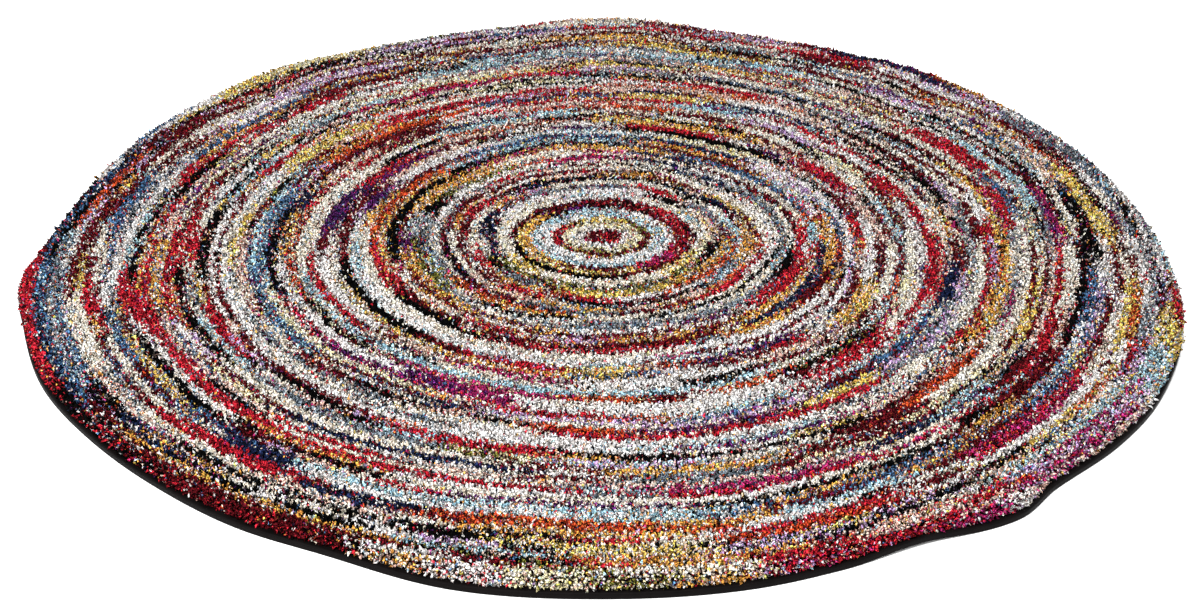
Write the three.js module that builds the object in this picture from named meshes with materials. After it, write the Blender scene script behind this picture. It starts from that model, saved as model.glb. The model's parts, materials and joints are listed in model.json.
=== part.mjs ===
// Round shag rug: a woven ground with its deep pile, cut to a circle, and a tape bound round the cut edge.
// Millimetres, +Z up. The origin is the middle of the rug's box, on the floor. The front of the rug faces -Y.

import * as THREE from "three";

// Driving dimensions
const RUG_RADIUS = 800; // nominal, to the outside of the edge tape
const PILE_TOP = 30; // pile height above the floor
const GROUND_THICKNESS = 3; // woven ground, held in the fold of the tape
const TAPE_HEIGHT = 9;
const TAPE_WIDTH = 14; // how far the folded tape reaches in over the ground
const TAPE_FOLD = 3; // tape and stitches outside the cut edge of the ground
const TAPE_CORNER = 1.6; // rounding of the tape's outer corners
const FIT_GAP = 0.3; // clearance between the rug body and the tape

// The outline as the rug lies: how far the tape stands outside or inside the nominal circle.
const OUTLINE = [
  { azimuth: 0, offset: -7 },
  { azimuth: 10, offset: -10 },
  { azimuth: 20, offset: -7 },
  { azimuth: 30, offset: -4 },
  { azimuth: 40, offset: 1 },
  { azimuth: 50, offset: -3 },
  { azimuth: 60, offset: 0 },
  { azimuth: 74, offset: 3 },
  { azimuth: 90, offset: 6 },
  { azimuth: 104, offset: 1 },
  { azimuth: 118, offset: 0 },
  { azimuth: 130, offset: -1 },
  { azimuth: 140, offset: 2 },
  { azimuth: 147, offset: -4 },
  { azimuth: 154, offset: -8 },
  { azimuth: 162, offset: -17 },
  { azimuth: 174, offset: -21 },
  { azimuth: 182, offset: -11 },
  { azimuth: 189, offset: 8 },
  { azimuth: 197, offset: 3 },
  { azimuth: 208, offset: 4 },
  { azimuth: 218, offset: -2 },
  { azimuth: 228, offset: -5 },
  { azimuth: 238, offset: -4 },
  { azimuth: 247, offset: -8 },
  { azimuth: 258, offset: 7 },
  { azimuth: 270, offset: 5 },
  { azimuth: 282, offset: 3 },
  { azimuth: 290, offset: -4 },
  { azimuth: 298, offset: -9 },
  { azimuth: 307, offset: 10 },
  { azimuth: 313, offset: -4 },
  { azimuth: 322, offset: 2 },
  { azimuth: 330, offset: 6 },
  { azimuth: 345, offset: 4 },
];

// Waves that the rug keeps from being rolled: each runs in from the edge and lifts it off the floor a little.
const WAVES = [
  { azimuth: 50, lift: 5, halfWidth: 120, from: 560 },
  { azimuth: 89, lift: 12, halfWidth: 190, from: 430 },
  { azimuth: 132, lift: 6, halfWidth: 140, from: 540 },
  { azimuth: 197, lift: 5, halfWidth: 110, from: 500 },
  { azimuth: 297, lift: 4, halfWidth: 90, from: 540 },
  { azimuth: 338, lift: 4, halfWidth: 130, from: 480 },
];

// Lumps of the pile: broad swells of the tuft tips, each one running its own way across the rug.
const LUMPS = [
  { heading: 18, wavelength: 310, height: 0.9, phase: 0.4 },
  { heading: 74, wavelength: 236, height: 0.8, phase: 2.1 },
  { heading: 131, wavelength: 188, height: 0.8, phase: 4.4 },
  { heading: 163, wavelength: 141, height: 0.7, phase: 1.2 },
  { heading: 43, wavelength: 117, height: 0.6, phase: 5.3 },
];

// Locks: tapered bunches of yarn that lean out over the tape, one from each column of the pile's rim.
const LOCK_COUNT = 240;
const LOCK_STAGES = [
  { reach: 0.55, narrowing: 0.62, droop: 0.3 },
  { reach: 1, narrowing: 0.24, droop: 1 },
];
const LOCK_REACH = { least: 4, most: 10 };
const LOCK_DROOP = { least: 1, most: 4 };
const LOCK_SWAY = 5; // largest sideways lean of a tip

// The rim of the pile, from the overhang above the tape up to the shoulder.
const RIM = [
  { inset: 3, height: 10.8 },
  { inset: 0.5, height: 18.5 },
  { inset: 5, height: 25.5 },
];
const SHOULDER = [
  { inset: 16, drop: 1.6 },
  { inset: 42, drop: 0.4 },
];

const EDGE_COLUMNS = LOCK_COUNT / 2;
const TAU = 2 * Math.PI;
const radians = (degrees) => (degrees * Math.PI) / 180;

// A repeatable number from 0 to 1 for each lock and each of its own choices.
function chance(index, choice) {
  const value = Math.sin(index * 12.9898 + choice * 78.233) * 43758.5453;
  return value - Math.floor(value);
}

const between = (range, share) => range.least + (range.most - range.least) * share;

// Smooth closed curve through the outline's rows.
function outlineOffset(angle) {
  const azimuth = ((((angle * 360) / TAU) % 360) + 360) % 360;
  const count = OUTLINE.length;
  const after = OUTLINE.findIndex((row) => row.azimuth > azimuth);
  const next = after < 0 ? count : after;
  const row = (index) => {
    const turns = Math.floor(index / count);
    const { azimuth: at, offset } = OUTLINE[index - turns * count];
    return { at: at + 360 * turns, offset };
  };
  const [before, start, end, beyond] = [next - 2, next - 1, next, next + 1].map(row);
  const span = end.at - start.at;
  const t = (azimuth - start.at) / span;
  const startSlope = ((end.offset - before.offset) / (end.at - before.at)) * span;
  const endSlope = ((beyond.offset - start.offset) / (beyond.at - start.at)) * span;
  const t2 = t * t;
  const t3 = t2 * t;
  return (
    (2 * t3 - 3 * t2 + 1) * start.offset +
    (t3 - 2 * t2 + t) * startSlope +
    (3 * t2 - 2 * t3) * end.offset +
    (t3 - t2) * endSlope
  );
}

const edgeRadius = (angle) => RUG_RADIUS + outlineOffset(angle);

function smoothRise(share) {
  const t = Math.min(Math.max(share, 0), 1);
  return t * t * (3 - 2 * t);
}

// Height of the rug's underside above the floor.
function waveLift(x, y) {
  const radius = Math.hypot(x, y);
  return WAVES.reduce((sum, wave) => {
    const heading = radians(wave.azimuth);
    const along = x * Math.cos(heading) + y * Math.sin(heading);
    const across = (y * Math.cos(heading) - x * Math.sin(heading)) / wave.halfWidth;
    if (along < 0 || Math.abs(across) > 1) return sum;
    const rise = smoothRise((radius - wave.from) / (RUG_RADIUS - wave.from));
    return sum + wave.lift * rise * (1 - across * across) ** 2;
  }, 0);
}

function lumpHeight(x, y) {
  return LUMPS.reduce((sum, lump) => {
    const heading = radians(lump.heading);
    const along = x * Math.cos(heading) + y * Math.sin(heading);
    return sum + lump.height * Math.sin((TAU * along) / lump.wavelength + lump.phase);
  }, 0);
}

// A closed surface that grows ring by ring, its faces pointing out when it runs from the underside,
// round the edge and back over the top.
class Surface {
  constructor() {
    this.positions = [];
    this.faces = [];
  }

  vertex(x, y, z) {
    this.positions.push(x, y, z);
    return this.positions.length / 3 - 1;
  }

  point(index) {
    return new THREE.Vector3().fromArray(this.positions, 3 * index);
  }

  // One ring of vertices; place gives the radius and the height above the lifted underside at an angle.
  ring(columns, place) {
    return Array.from({ length: columns }, (_, column) => {
      const angle = (TAU * column) / columns;
      const { radius, height } = place(angle);
      const x = radius * Math.cos(angle);
      const y = radius * Math.sin(angle);
      return this.vertex(x, y, height + waveLift(x, y));
    });
  }

  // Joins two rings; the later one may have the same number of columns, half or twice as many.
  bridge(earlier, later, skip = () => false) {
    const a = (index) => earlier[index % earlier.length];
    const b = (index) => later[index % later.length];
    if (earlier.length === later.length) {
      earlier.forEach((_, i) => {
        if (!skip(i)) this.faces.push([a(i), a(i + 1), b(i + 1)], [a(i), b(i + 1), b(i)]);
      });
    } else if (earlier.length > later.length) {
      later.forEach((_, i) => {
        const middle = a(2 * i + 1);
        this.faces.push([a(2 * i), middle, b(i)], [middle, b(i + 1), b(i)], [middle, a(2 * i + 2), b(i + 1)]);
      });
    } else {
      earlier.forEach((_, i) => {
        const middle = b(2 * i + 1);
        this.faces.push([a(i), middle, b(2 * i)], [a(i), a(i + 1), middle], [a(i + 1), b(2 * i + 2), middle]);
      });
    }
    return later;
  }

  openCentre(ring, height) {
    const centre = this.vertex(0, 0, height);
    ring.forEach((_, i) => this.faces.push([centre, ring[(i + 1) % ring.length], ring[i]]));
    return ring;
  }

  closeCentre(ring, height) {
    const centre = this.vertex(0, 0, height);
    ring.forEach((_, i) => this.faces.push([ring[i], ring[(i + 1) % ring.length], centre]));
  }

  geometry() {
    const geometry = new THREE.BufferGeometry();
    geometry.setAttribute("position", new THREE.Float32BufferAttribute(this.positions, 3));
    geometry.setIndex(this.faces.flat());
    geometry.computeVertexNormals();
    return geometry;
  }
}

// One lock of yarn grown out of a four-sided patch of the rim.
function growLock(surface, patch, index) {
  const root = patch.map((vertex) => surface.point(vertex));
  const middle = root.reduce((sum, point) => sum.add(point), new THREE.Vector3()).divideScalar(4);
  const outward = new THREE.Vector3(middle.x, middle.y, 0).normalize();
  const sideways = new THREE.Vector3(-outward.y, outward.x, 0);
  const reach = between(LOCK_REACH, chance(index, 1));
  const droop = between(LOCK_DROOP, chance(index, 2));
  const sway = (2 * chance(index, 3) - 1) * LOCK_SWAY;
  let earlier = patch;
  for (const stage of LOCK_STAGES) {
    const centre = middle
      .clone()
      .addScaledVector(outward, reach * stage.reach)
      .addScaledVector(sideways, sway * stage.reach);
    centre.z -= droop * stage.droop;
    const later = root.map((point) => {
      const corner = centre.clone().addScaledVector(point.clone().sub(middle), stage.narrowing);
      return surface.vertex(corner.x, corner.y, corner.z);
    });
    earlier.forEach((from, side) => {
      const to = (side + 1) % 4;
      surface.faces.push([from, earlier[to], later[to]], [from, later[to], later[side]]);
    });
    earlier = later;
  }
  surface.faces.push([earlier[0], earlier[1], earlier[2]], [earlier[0], earlier[2], earlier[3]]);
}

// The rug body: underside, the ground's lip inside the tape, the rim with its locks, and the lumpy top.
function pileFieldGeometry() {
  const surface = new Surface();
  const lipBottom = (TAPE_HEIGHT - GROUND_THICKNESS) / 2;
  const lipTop = lipBottom + GROUND_THICKNESS;
  const wallInset = TAPE_WIDTH + FIT_GAP;
  const lipInset = TAPE_FOLD + FIT_GAP;
  const inEdge = (inset, height) => (angle) => ({ radius: edgeRadius(angle) - inset, height });

  const undersideRings = [
    { columns: 15, radius: 150 },
    { columns: 30, radius: 300 },
    { columns: 60, radius: 430 },
    { columns: 60, radius: 560 },
    { columns: 60, radius: 640 },
    { columns: 120, radius: 715 },
  ];
  let ring = null;
  for (const { columns, radius } of undersideRings) {
    const next = surface.ring(columns, () => ({ radius, height: 0 }));
    ring = ring ? surface.bridge(ring, next) : surface.openCentre(next, 0);
  }

  const edgeSteps = [
    { inset: wallInset, height: 0 },
    { inset: wallInset, height: lipBottom },
    { inset: lipInset, height: lipBottom },
    { inset: lipInset, height: lipTop },
    { inset: wallInset, height: lipTop },
    { inset: wallInset, height: TAPE_HEIGHT + FIT_GAP },
  ];
  for (const { inset, height } of edgeSteps) {
    ring = surface.bridge(ring, surface.ring(EDGE_COLUMNS, inEdge(inset, height)));
  }

  const rimRings = RIM.map(({ inset, height }) => surface.ring(LOCK_COUNT, inEdge(inset, height)));
  surface.bridge(ring, rimRings[0]);
  for (const row of [0, 1]) {
    const lower = rimRings[row];
    const upper = rimRings[row + 1];
    surface.bridge(lower, upper, (column) => column % 2 === row);
    for (let column = row; column < LOCK_COUNT; column += 2) {
      const next = (column + 1) % LOCK_COUNT;
      growLock(surface, [lower[column], lower[next], upper[next], upper[column]], column);
    }
  }
  ring = rimRings[2];

  const onTop = (radiusOf, drop) => (angle) => {
    const radius = radiusOf(angle);
    return { radius, height: PILE_TOP - drop + lumpHeight(radius * Math.cos(angle), radius * Math.sin(angle)) };
  };
  for (const { inset, drop } of SHOULDER) {
    const shoulder = surface.ring(LOCK_COUNT, onTop((angle) => edgeRadius(angle) - inset, drop));
    ring = surface.bridge(ring, shoulder);
  }
  const topRings = [
    { columns: 120, radius: 715 },
    { columns: 120, radius: 668 },
    { columns: 120, radius: 620 },
    { columns: 120, radius: 572 },
    { columns: 120, radius: 524 },
    { columns: 120, radius: 476 },
    { columns: 60, radius: 424 },
    { columns: 60, radius: 376 },
    { columns: 60, radius: 328 },
    { columns: 60, radius: 280 },
    { columns: 60, radius: 232 },
    { columns: 30, radius: 180 },
    { columns: 30, radius: 132 },
    { columns: 30, radius: 84 },
    { columns: 15, radius: 40 },
  ];
  for (const { columns, radius } of topRings) {
    ring = surface.bridge(ring, surface.ring(columns, onTop(() => radius, 0)));
  }
  surface.closeCentre(ring, PILE_TOP + lumpHeight(0, 0));
  return surface.geometry();
}

// The tape: one closed band folded round the ground's cut edge, open only towards the middle of the rug.
function edgeBindingGeometry() {
  const surface = new Surface();
  const slotBottom = (TAPE_HEIGHT - GROUND_THICKNESS) / 2 - FIT_GAP;
  const slotTop = TAPE_HEIGHT - slotBottom;
  const section = [
    { inset: TAPE_WIDTH, height: 0 },
    { inset: TAPE_CORNER, height: 0 },
    { inset: 0, height: TAPE_CORNER },
    { inset: 0, height: TAPE_HEIGHT - TAPE_CORNER },
    { inset: TAPE_CORNER, height: TAPE_HEIGHT },
    { inset: TAPE_WIDTH, height: TAPE_HEIGHT },
    { inset: TAPE_WIDTH, height: slotTop },
    { inset: TAPE_FOLD, height: slotTop },
    { inset: TAPE_FOLD, height: slotBottom },
    { inset: TAPE_WIDTH, height: slotBottom },
  ];
  const rings = section.map(({ inset, height }) =>
    surface.ring(EDGE_COLUMNS, (angle) => ({ radius: edgeRadius(angle) - inset, height })),
  );
  rings.forEach((ring, index) => surface.bridge(ring, rings[(index + 1) % rings.length]));
  return surface.geometry();
}

function piece(name, geometry, color, roughness) {
  const material = new THREE.MeshStandardMaterial({ color, roughness, metalness: 0 });
  const mesh = new THREE.Mesh(geometry, material);
  mesh.name = name;
  return mesh;
}

const rug = new THREE.Group();
rug.add(piece("pile_field", pileFieldGeometry(), 0x8f5a50, 0.95));
rug.add(piece("edge_binding", edgeBindingGeometry(), 0x141316, 0.6));

const box = new THREE.Box3().setFromObject(rug);
const middle = box.getCenter(new THREE.Vector3());
rug.position.set(-middle.x, -middle.y, 0);

export default rug;
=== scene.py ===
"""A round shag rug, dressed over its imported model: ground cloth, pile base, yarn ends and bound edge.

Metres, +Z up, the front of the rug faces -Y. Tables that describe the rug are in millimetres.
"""

import json
import math

import bpy
import numpy as np
from mathutils import Matrix, Vector

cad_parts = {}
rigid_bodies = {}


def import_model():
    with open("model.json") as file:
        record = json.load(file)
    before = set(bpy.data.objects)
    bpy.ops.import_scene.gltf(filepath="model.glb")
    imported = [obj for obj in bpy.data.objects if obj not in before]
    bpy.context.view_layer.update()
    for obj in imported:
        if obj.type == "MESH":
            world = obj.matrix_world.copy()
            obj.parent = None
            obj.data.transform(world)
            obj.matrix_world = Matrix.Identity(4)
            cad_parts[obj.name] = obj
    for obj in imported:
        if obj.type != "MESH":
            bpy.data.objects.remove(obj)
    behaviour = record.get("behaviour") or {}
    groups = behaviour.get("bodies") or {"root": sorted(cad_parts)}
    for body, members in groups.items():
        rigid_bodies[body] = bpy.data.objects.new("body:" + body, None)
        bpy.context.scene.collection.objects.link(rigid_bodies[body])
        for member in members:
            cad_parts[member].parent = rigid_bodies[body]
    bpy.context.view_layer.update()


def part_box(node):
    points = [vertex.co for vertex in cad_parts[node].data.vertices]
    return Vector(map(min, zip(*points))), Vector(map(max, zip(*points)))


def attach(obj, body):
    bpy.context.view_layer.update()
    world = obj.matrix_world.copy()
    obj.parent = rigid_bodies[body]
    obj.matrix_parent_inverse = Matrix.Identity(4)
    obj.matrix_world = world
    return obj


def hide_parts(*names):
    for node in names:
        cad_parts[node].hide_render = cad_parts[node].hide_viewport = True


MM = 0.001
TAU = 2 * math.pi
SEED = 41

# Sizes of the rug, as in the part's source
RUG_RADIUS = 800 * MM
PILE_TOP = 30 * MM
GROUND_THICKNESS = 3 * MM
TAPE_HEIGHT = 9 * MM
TAPE_WIDTH = 14 * MM
TAPE_FOLD = 3 * MM
FIT_GAP = 0.3 * MM

# Columns of vertices round the rug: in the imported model, in the ground and the base, and in the tape
FRAME_COLUMNS = 120
BODY_COLUMNS = 120
TAPE_COLUMNS = 480

# The outline as the rug lies: azimuth in degrees, and how far the tape stands outside the nominal circle.
OUTLINE = (
    (0, -7), (10, -10), (20, -7), (30, -4), (40, 1), (50, -3), (60, 0), (74, 3), (90, 6), (104, 1),
    (118, 0), (130, -1), (140, 2), (147, -4), (154, -8), (162, -17), (174, -21), (182, -11), (189, 8),
    (197, 3), (208, 4), (218, -2), (228, -5), (238, -4), (247, -8), (258, 7), (270, 5), (282, 3),
    (290, -4), (298, -9), (307, 10), (313, -4), (322, 2), (330, 6), (345, 4),
)

# Waves from being rolled: azimuth, lift at the edge, half the width, and the radius where each begins.
WAVES = (
    (50, 5, 120, 560), (89, 12, 190, 430), (132, 6, 140, 540), (197, 5, 110, 500), (297, 4, 90, 540),
    (338, 4, 130, 480),
)

# Broad swells of the pile: heading in degrees, wavelength, height, and phase in radians.
LUMPS = (
    (18, 310, 0.9, 0.4), (74, 236, 0.8, 2.1), (131, 188, 0.8, 4.4), (163, 141, 0.7, 1.2),
    (43, 117, 0.6, 5.3),
)

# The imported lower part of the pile: its top, and its shoulder as distance in from its rim and drop
BASE_TOP = 17.5 * MM
BASE_SHOULDER = ((1, 1.5), (4, 0))

# Yarn ends: distance apart and how far each strays from its place as a share of that, width with its
# spread, sideways lean, height of the roots, and the number of pieces that share them
YARN_SPACING = 3.2 * MM
YARN_JITTER = 0.36
YARN_WIDTH = 4.9 * MM
WIDTH_SPREAD = 0.28
LEAN_SPREAD = 0.24
YARN_ROOT = 16 * MM
YARN_PIECES = 5

# How far a tip stands off the even top: lowest, most often and highest, in millimetres
TIP_SPREAD = (-4.0, 0.6, 2.4)

# Forms of a yarn end: how far each of its three corners drops below its top, as shares of its length
YARN_DROPS = ((0, 0.14, 0.3), (0, 0.24, 0.2), (0, 0.08, 0.34), (0, 0.16, 0.16))

# Roots of the yarns that fan out over the tape, in millimetres, and how bare of shade their feet are
RIM_ROOT = {"inset": 15.0, "height": 12.0}
RIM_BARE = 0.7

# Tips of those yarns, row by row upwards: distance in from the tape's outside, and height.
RIM_FAN = ((2.0, 9.6), (0.8, 12.8), (0.9, 16.2), (2.0, 19.6), (4.2, 23.0), (7.4, 26.4))

# How far those tips are combed back, so that the tape shows: azimuth in degrees, and millimetres.
RIM_COMBED = (
    (180, 0), (196, 1.5), (212, 3.5), (240, 5), (262, 4), (280, 4), (292, 3), (300, 2), (308, 5),
    (318, 5.5), (328, 4), (336, 2), (344, 0),
)

# How much they vary, in millimetres: foot and tip in or out, tip up or down, and sideways. A few are loose.
RIM_STRAYS = {"foot": (-1, 1), "inset": (-2.8, 2.4), "height": (-1.5, 1.5), "side": (-4.5, 4.5)}
RIM_LOOSE = {"share": 0.07, "further_out": 4.0}

# Dyed yarns of the rug: the dye, and how unmixed a row is that the yarn leads.
YARN_DYES = {
    "crimson": ("B4202E", 0.78),
    "maroon": ("5C1018", 0.9),
    "vermilion": ("CA4A26", 0.72),
    "orange": ("E69F48", 0.56),
    "gold": ("EABE5C", 0.6),
    "butter": ("F4E5B2", 0.8),
    "cream": ("F8E8D2", 1.0),
    "white": ("FAF1EC", 1.0),
    "peach": ("EFC0B0", 0.62),
    "lilac": ("BC98CA", 0.5),
    "magenta": ("A62862", 0.66),
    "plum": ("54205E", 0.66),
    "sky": ("9CC6D8", 0.52),
    "steel": ("44688E", 0.56),
    "slate": ("7A8690", 0.56),
    "navy": ("1A2444", 0.8),
    "olive": ("7C7A34", 0.56),
    "black": ("040404", 1.0),
}

# The rings from the middle out: outer radius, the yarns met all the way round, most of the first one,
# then the stretches (from, to in degrees) where other yarns take over.
RINGS = (
    (20, "crimson maroon"),
    (30, "black plum white"),
    (48, "butter cream", (40, 60, "olive butter"), (240, 300, "olive butter")),
    (62, "maroon black olive", (60, 135, "maroon black gold"), (140, 205, "crimson"),
     (240, 300, "olive gold maroon")),
    (90, "sky white", (222, 285, "sky slate white")),
    (110, "maroon crimson black", (62, 85, "black maroon"), (85, 98, "crimson black"),
     (98, 140, "black maroon plum"), (140, 235, "orange gold"), (235, 300, "maroon gold black"),
     (300, 328, "crimson magenta lilac")),
    (120, "black maroon", (20, 60, "crimson"), (300, 360, "crimson maroon")),
    (140, "cream butter", (22, 32, "sky"), (60, 120, "white sky"), (205, 225, "gold"),
     (310, 345, "gold butter")),
    (155, "black maroon", (0, 40, "peach gold"), (60, 160, "white lilac"), (170, 205, "black navy cream"),
     (205, 330, "olive black cream")),
    (169, "slate maroon", (50, 72, "crimson"), (150, 180, "navy"), (195, 215, "black olive"),
     (245, 300, "olive gold")),
    (182, "cream black", (120, 150, "crimson peach"), (195, 212, "crimson"), (215, 240, "orange"),
     (255, 275, "crimson"), (345, 380, "sky")),
    (200, "maroon cream", (20, 135, "black navy"), (145, 160, "crimson"), (225, 248, "crimson orange"),
     (255, 280, "black navy"), (315, 340, "slate steel"), (345, 372, "orange")),
    (210, "peach gold", (70, 80, "orange"), (120, 135, "white"), (160, 175, "vermilion"),
     (180, 215, "cream white"), (250, 280, "orange gold")),
    (222, "maroon slate", (60, 80, "peach"), (90, 100, "crimson"), (185, 215, "black plum"),
     (240, 275, "slate black"), (300, 420, "crimson")),
    (238, "slate black", (120, 137, "crimson"), (210, 255, "vermilion orange"), (265, 295, "cream"),
     (300, 470, "cream white")),
    (263, "slate cream", (25, 80, "slate navy"), (80, 105, "crimson magenta"), (120, 150, "white olive"),
     (150, 165, "black"), (180, 215, "olive steel"), (262, 285, "slate")),
    (285, "maroon cream", (60, 80, "navy"), (82, 95, "magenta peach"), (97, 125, "cream peach"),
     (125, 165, "orange"), (180, 190, "plum"), (190, 260, "orange maroon"), (316, 370, "crimson")),
    (300, "crimson orange plum", (0, 20, "sky"), (20, 70, "steel slate"), (72, 150, "orange gold"),
     (150, 200, "orange"), (307, 340, "orange gold")),
    (312, "maroon orange", (15, 30, "magenta lilac"), (80, 140, "slate black"), (185, 212, "crimson"),
     (310, 360, "navy slate")),
    (326, "vermilion maroon orange", (20, 50, "lilac white"), (80, 120, "slate black"),
     (185, 212, "crimson orange"), (212, 300, "crimson black slate white"), (345, 370, "orange")),
    (340, "maroon steel peach", (20, 48, "white lilac"), (50, 112, "navy steel black"),
     (176, 335, "cream white peach")),
    (357, "white cream lilac", (50, 75, "butter"), (75, 115, "sky white"), (150, 168, "plum"),
     (180, 300, "white sky")),
    (371, "maroon peach", (100, 150, "peach white"), (50, 85, "black"), (88, 100, "plum"),
     (188, 230, "black"), (240, 260, "crimson lilac"), (262, 275, "gold"), (288, 325, "navy plum"),
     (350, 372, "crimson")),
    (385, "white maroon", (20, 40, "crimson magenta"), (60, 85, "crimson maroon"),
     (135, 155, "crimson plum"), (155, 178, "navy plum"), (250, 262, "crimson"), (262, 275, "gold"),
     (305, 315, "crimson"), (322, 340, "orange gold")),
    (400, "peach maroon", (20, 40, "crimson magenta"), (52, 90, "orange gold"),
     (135, 155, "crimson plum"), (155, 178, "navy plum"), (186, 220, "white"), (260, 300, "white black"),
     (322, 340, "orange gold")),
    (413, "cream peach maroon", (52, 90, "orange gold"), (92, 105, "maroon black"),
     (128, 145, "black navy"), (200, 220, "crimson"), (260, 300, "white black")),
    (426, "sky cream maroon", (155, 200, "sky cream"), (60, 67, "crimson"), (95, 125, "sky"),
     (140, 155, "cream"), (220, 280, "sky"), (300, 325, "black olive")),
    (440, "butter maroon", (25, 35, "butter"), (95, 125, "sky"), (140, 155, "cream"),
     (300, 325, "black olive"), (345, 360, "cream")),
    (455, "maroon white", (15, 25, "crimson"), (40, 60, "lilac white"), (75, 105, "vermilion"),
     (120, 155, "peach maroon"), (160, 200, "navy black"), (215, 255, "plum magenta"),
     (262, 300, "white cream"), (310, 325, "crimson"), (325, 350, "white cream")),
    (469, "white crimson", (60, 75, "sky"), (75, 92, "crimson"), (120, 155, "maroon black"),
     (160, 200, "navy black"), (215, 255, "magenta plum"), (266, 300, "cream white"),
     (333, 385, "crimson")),
    (481, "crimson cream", (60, 72, "sky"), (112, 150, "vermilion"), (160, 200, "sky steel"),
     (200, 240, "butter cream"), (250, 268, "crimson"), (270, 300, "sky peach white")),
    (499, "steel maroon", (0, 12, "orange cream"), (22, 40, "black"), (42, 65, "navy"), (70, 85, "gold"),
     (112, 150, "vermilion orange"), (160, 220, "sky steel"), (242, 248, "navy"),
     (250, 300, "cream lilac"), (335, 350, "navy")),
    (512, "peach maroon", (92, 135, "crimson"), (155, 168, "olive sky"), (260, 275, "vermilion"),
     (300, 315, "gold"), (315, 350, "slate lilac")),
    (524, "slate cream", (20, 45, "maroon black"), (45, 90, "peach"), (92, 135, "crimson"),
     (132, 155, "gold"), (170, 190, "gold"), (260, 313, "crimson")),
    (537, "cream slate", (20, 45, "maroon black"), (45, 90, "peach"), (132, 155, "gold"),
     (155, 168, "white sky"), (190, 215, "white sky"), (250, 300, "white")),
    (554, "white maroon", (30, 55, "slate maroon"), (60, 75, "crimson"), (95, 112, "butter"),
     (120, 130, "vermilion"), (145, 158, "crimson"), (240, 300, "white sky"), (300, 320, "cream"),
     (325, 365, "crimson maroon")),
    (572, "black peach", (152, 168, "sky"), (200, 215, "crimson"), (215, 235, "black maroon"),
     (240, 262, "crimson"), (328, 385, "orange gold")),
    (586, "slate cream", (5, 20, "crimson"), (95, 137, "crimson magenta"), (145, 152, "crimson"),
     (180, 190, "crimson"), (252, 268, "olive butter"), (265, 285, "sky lilac"), (300, 312, "maroon"),
     (312, 330, "vermilion")),
    (600, "cream maroon", (5, 20, "steel slate"), (95, 120, "crimson"), (125, 155, "sky cream"),
     (200, 215, "black"), (270, 290, "orange"), (300, 312, "maroon")),
    (617, "maroon butter", (20, 38, "crimson"), (78, 95, "gold"), (100, 150, "butter white"),
     (180, 205, "crimson"), (205, 215, "lilac white"), (230, 262, "navy"), (272, 290, "slate"),
     (333, 352, "gold")),
    (633, "peach slate", (110, 150, "cream white"), (8, 30, "sky"), (64, 75, "orange"),
     (180, 200, "orange steel"), (228, 245, "crimson"), (300, 310, "navy"), (310, 320, "sky")),
    (651, "crimson slate", (0, 15, "magenta plum"), (15, 33, "maroon black"), (42, 55, "peach"),
     (70, 120, "sky slate"), (155, 170, "black"), (228, 245, "crimson"), (277, 308, "magenta crimson"),
     (320, 360, "crimson maroon")),
    (673, "black cream", (228, 246, "black maroon"), (60, 72, "sky"), (75, 110, "sky slate white"),
     (120, 137, "maroon"), (142, 165, "crimson"), (190, 202, "crimson"), (245, 290, "cream white"),
     (310, 360, "maroon black")),
    (698, "steel maroon", (17, 30, "peach gold"), (42, 53, "lilac slate"), (53, 68, "maroon"),
     (68, 90, "gold"), (165, 200, "white slate"), (230, 240, "navy"), (240, 285, "sky white"),
     (330, 355, "steel"), (355, 375, "black")),
    (720, "maroon cream", (0, 20, "gold"), (60, 80, "black navy"), (85, 100, "orange"),
     (120, 150, "lilac white"), (165, 180, "steel"), (193, 202, "crimson"), (222, 240, "crimson"),
     (242, 252, "navy black"), (253, 285, "vermilion maroon orange"), (285, 300, "white sky"),
     (308, 330, "crimson magenta")),
    (743, "maroon cream", (53, 65, "maroon"), (68, 75, "slate"), (118, 140, "lilac peach maroon gold"),
     (195, 258, "cream peach slate"), (258, 280, "orange cream"), (280, 300, "crimson vermilion"),
     (308, 332, "gold white peach"), (337, 352, "gold")),
    (765, "black lilac", (0, 35, "slate steel"), (35, 55, "lilac white"), (55, 95, "crimson"),
     (130, 145, "peach crimson"), (147, 157, "maroon"), (180, 213, "sky steel slate white"),
     (220, 230, "navy"), (250, 262, "white lilac black"), (262, 280, "white black gold"),
     (308, 332, "peach sky gold white"), (340, 373, "white slate")),
    (784, "maroon lilac black", (13, 35, "slate white black"), (42, 60, "navy plum"),
     (65, 75, "lilac peach"), (85, 98, "cream peach"), (100, 120, "white maroon lilac"),
     (120, 150, "gold butter black"), (160, 184, "navy black steel"), (184, 214, "steel sky navy black"),
     (214, 252, "maroon white black orange"), (252, 266, "black peach olive sky"),
     (266, 291, "crimson peach orange"), (290, 308, "crimson peach magenta orange"),
     (308, 330, "lilac white sky magenta"), (330, 337, "sky"), (337, 345, "gold peach"),
     (352, 373, "white slate")),
    (806, "crimson maroon", (13, 35, "slate white sky"), (35, 47, "orange maroon"),
     (50, 60, "navy plum black"), (65, 80, "lilac maroon peach"), (80, 98, "cream peach orange"),
     (100, 120, "white slate olive"), (120, 143, "gold butter black"), (143, 160, "white steel maroon"),
     (160, 167, "black white"), (167, 182, "navy black"), (187, 208, "crimson"),
     (208, 250, "crimson maroon black"), (250, 257, "peach black orange white"),
     (257, 264, "crimson white maroon"), (264, 278, "cream butter olive"),
     (278, 284, "cream peach orange"), (284, 308, "crimson magenta peach lilac"),
     (308, 330, "lilac white magenta peach"), (330, 337, "sky white"), (337, 345, "gold"),
     (345, 352, "crimson orange"), (352, 373, "white slate sky")),
)

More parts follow.
